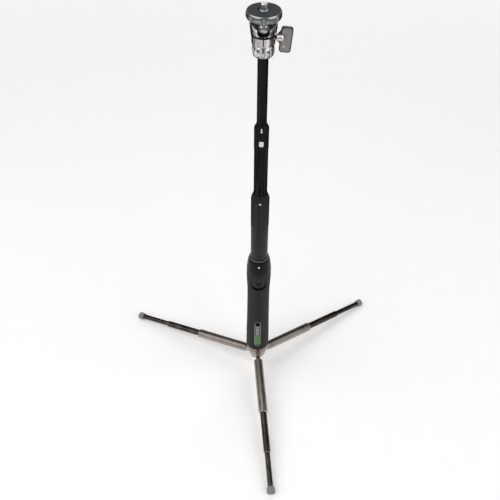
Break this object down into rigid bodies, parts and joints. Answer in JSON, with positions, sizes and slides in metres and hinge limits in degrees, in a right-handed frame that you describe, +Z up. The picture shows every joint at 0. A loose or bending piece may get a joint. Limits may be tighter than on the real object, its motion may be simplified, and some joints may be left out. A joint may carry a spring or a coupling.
{
  "type": "telescoping tabletop tripod pod",
  "caption": "Hand-held telescoping camera pod with a clamped ball head, waisted rubber grip and a fold-out foot of three telescoping chrome legs.",
  "frame": {"origin": "on the floor, on the axis of the column, with the three legs open", "axes": "+Z up along the column towards the camera screw; the front with the badge and the button faces -Y; the lock key points to +X"},
  "size_m": [0.3197, 0.294, 0.4938],
  "materials": {
    "rubber_grip": null,
    "black_plastic": null,
    "lock_sleeve_plastic": null,
    "badge_plastic": null,
    "white_mark": null,
    "white_plastic": null,
    "ring_plastic": null,
    "brass_insert": null,
    "steel": null,
    "spring_steel": null,
    "chrome_hub": null,
    "tube_black": null,
    "head_chrome": null,
    "black_metal": null,
    "ball_steel": null,
    "key_nickel": null,
    "platform_metal": null,
    "pad_rubber": null,
    "leg_chrome": null,
    "knuckle_metal": null,
    "bush_plastic": null,
    "foot_rubber": null
  },
  "bodies": {
    "grip": {"grip_badge": "badge_plastic", "grip_sleeve": "rubber_grip", "grip_core": "black_plastic", "grip_collar": "black_plastic", "grip_index_dot": "white_mark", "grip_mouth_ring": "ring_plastic", "grip_base_plug": "black_plastic", "thread_insert": "brass_insert", "leg_hub": "chrome_hub", "hub_stud": "steel", "hinge_pins": "steel"},
    "lower_lock": {"lower_lock_sleeve": "lock_sleeve_plastic"},
    "lower_section": {"lower_cam_plug": "black_plastic", "lower_tube": "tube_black", "lower_collar": "black_plastic", "lower_index_dot": "white_mark", "lower_guide_bush": "black_plastic"},
    "middle_lock": {"middle_lock_sleeve": "lock_sleeve_plastic"},
    "middle_section": {"middle_cam_plug": "black_plastic", "middle_tube": "tube_black", "middle_collar": "black_plastic", "middle_guide_bush": "black_plastic", "button_spring": "spring_steel"},
    "button": {"lock_button": "white_plastic"},
    "upper_lock": {"upper_lock_sleeve": "lock_sleeve_plastic"},
    "upper_section": {"upper_cam_plug": "black_plastic", "upper_tube": "tube_black", "head_spigot": "black_metal", "swivel_screw": "steel"},
    "swivel_ring": {"swivel_collar": "head_chrome"},
    "head": {"ball_housing": "head_chrome", "ball_cup": "black_plastic", "key_nut": "steel"},
    "key": {"lock_key": "key_nickel"},
    "ball": {"ball_stem": "ball_steel", "camera_screw": "steel"},
    "platform": {"platform_disc": "platform_metal", "platform_pad": "pad_rubber"},
    "front_leg": {"front_knuckle": "knuckle_metal", "front_outer_tube": "leg_chrome"},
    "front_leg_middle": {"front_middle_tube": "leg_chrome", "front_middle_bush": "bush_plastic"},
    "front_leg_inner": {"front_inner_tube": "leg_chrome", "front_inner_bush": "bush_plastic", "front_foot": "foot_rubber"},
    "right_leg": {"right_knuckle": "knuckle_metal", "right_outer_tube": "leg_chrome"},
    "right_leg_middle": {"right_middle_tube": "leg_chrome", "right_middle_bush": "bush_plastic"},
    "right_leg_inner": {"right_inner_tube": "leg_chrome", "right_inner_bush": "bush_plastic", "right_foot": "foot_rubber"},
    "left_leg": {"left_knuckle": "knuckle_metal", "left_outer_tube": "leg_chrome"},
    "left_leg_middle": {"left_middle_tube": "leg_chrome", "left_middle_bush": "bush_plastic"},
    "left_leg_inner": {"left_inner_tube": "leg_chrome", "left_inner_bush": "bush_plastic", "left_foot": "foot_rubber"}
  },
  "joints": [
    {"name": "lower_slide", "type": "slide", "parent": "grip", "child": "lower_lock", "axis": [0, 0, -1], "range_m": [0, 0.046]},
    {"name": "lower_twist", "type": "hinge", "parent": "lower_lock", "child": "lower_section", "pos_m": [0, 0, 0.29585], "axis": [0, 0, 1], "range_deg": [0, 90]},
    {"name": "middle_slide", "type": "slide", "parent": "lower_section", "child": "middle_lock", "axis": [0, 0, -1], "range_m": [0, 0.055]},
    {"name": "middle_twist", "type": "hinge", "parent": "middle_lock", "child": "middle_section", "pos_m": [0, 0, 0.37885], "axis": [0, 0, 1], "range_deg": [0, 90]},
    {"name": "upper_slide", "type": "slide", "parent": "middle_section", "child": "upper_lock", "axis": [0, 0, -1], "range_m": [0, 0.065]},
    {"name": "upper_twist", "type": "hinge", "parent": "upper_lock", "child": "upper_section", "pos_m": [0, 0, 0.44745], "axis": [0, 0, 1], "range_deg": [0, 90]},
    {"name": "button_press", "type": "slide", "parent": "middle_section", "child": "button", "axis": [0, 1, 0], "range_m": [0, 0.0006], "stiffness_N_per_m": 1500, "springref_m": -0.0006, "deforming": ["button_spring"]},
    {"name": "swivel_ring_turn", "type": "hinge", "parent": "upper_section", "child": "swivel_ring", "pos_m": [0, 0, 0.45245], "axis": [0, 0, 1], "range_deg": [0, 90]},
    {"name": "head_swivel", "type": "hinge", "parent": "upper_section", "child": "head", "pos_m": [0, 0, 0.45875], "axis": [0, 0, 1], "continuous": true},
    {"name": "key_turn", "type": "hinge", "parent": "head", "child": "key", "pos_m": [0, 0, 0.46435], "axis": [1, 0, 0], "range_deg": [0, 360]},
    {"name": "ball_tilt", "type": "hinge", "parent": "head", "child": "ball", "pos_m": [0, 0, 0.47305], "axis": [1, 0, 0], "range_deg": [-10, 30]},
    {"name": "platform_spin", "type": "hinge", "parent": "ball", "child": "platform", "pos_m": [0, 0, 0.48785], "axis": [0, 0, 1], "continuous": true},
    {"name": "front_leg_fold", "type": "hinge", "parent": "grip", "child": "front_leg", "pos_m": [0.00084, -0.00796, 0.02729], "axis": [0.9945, 0.1045, 0], "range_deg": [0, 82.6]},
    {"name": "front_leg_middle_slide", "type": "slide", "parent": "front_leg", "child": "front_leg_middle", "axis": [-0.1037, 0.9862, 0.1288], "range_m": [0, 0.045]},
    {"name": "front_leg_inner_slide", "type": "slide", "parent": "front_leg_middle", "child": "front_leg_inner", "axis": [-0.1037, 0.9862, 0.1288], "range_m": [0, 0.039]},
    {"name": "right_leg_fold", "type": "hinge", "parent": "grip", "child": "right_leg", "pos_m": [0.00647, 0.0047, 0.02729], "axis": [-0.5878, 0.809, 0], "range_deg": [0, 82.6]},
    {"name": "right_leg_middle_slide", "type": "slide", "parent": "right_leg", "child": "right_leg_middle", "axis": [-0.8023, -0.5829, 0.1288], "range_m": [0, 0.045]},
    {"name": "right_leg_inner_slide", "type": "slide", "parent": "right_leg_middle", "child": "right_leg_inner", "axis": [-0.8023, -0.5829, 0.1288], "range_m": [0, 0.039]},
    {"name": "left_leg_fold", "type": "hinge", "parent": "grip", "child": "left_leg", "pos_m": [-0.00731, 0.00325, 0.02729], "axis": [-0.4067, -0.9135, 0], "range_deg": [0, 82.6]},
    {"name": "left_leg_middle_slide", "type": "slide", "parent": "left_leg", "child": "left_leg_middle", "axis": [0.9059, -0.4033, 0.1288], "range_m": [0, 0.045]},
    {"name": "left_leg_inner_slide", "type": "slide", "parent": "left_leg_middle", "child": "left_leg_inner", "axis": [0.9059, -0.4033, 0.1288], "range_m": [0, 0.039]}
  ]
}
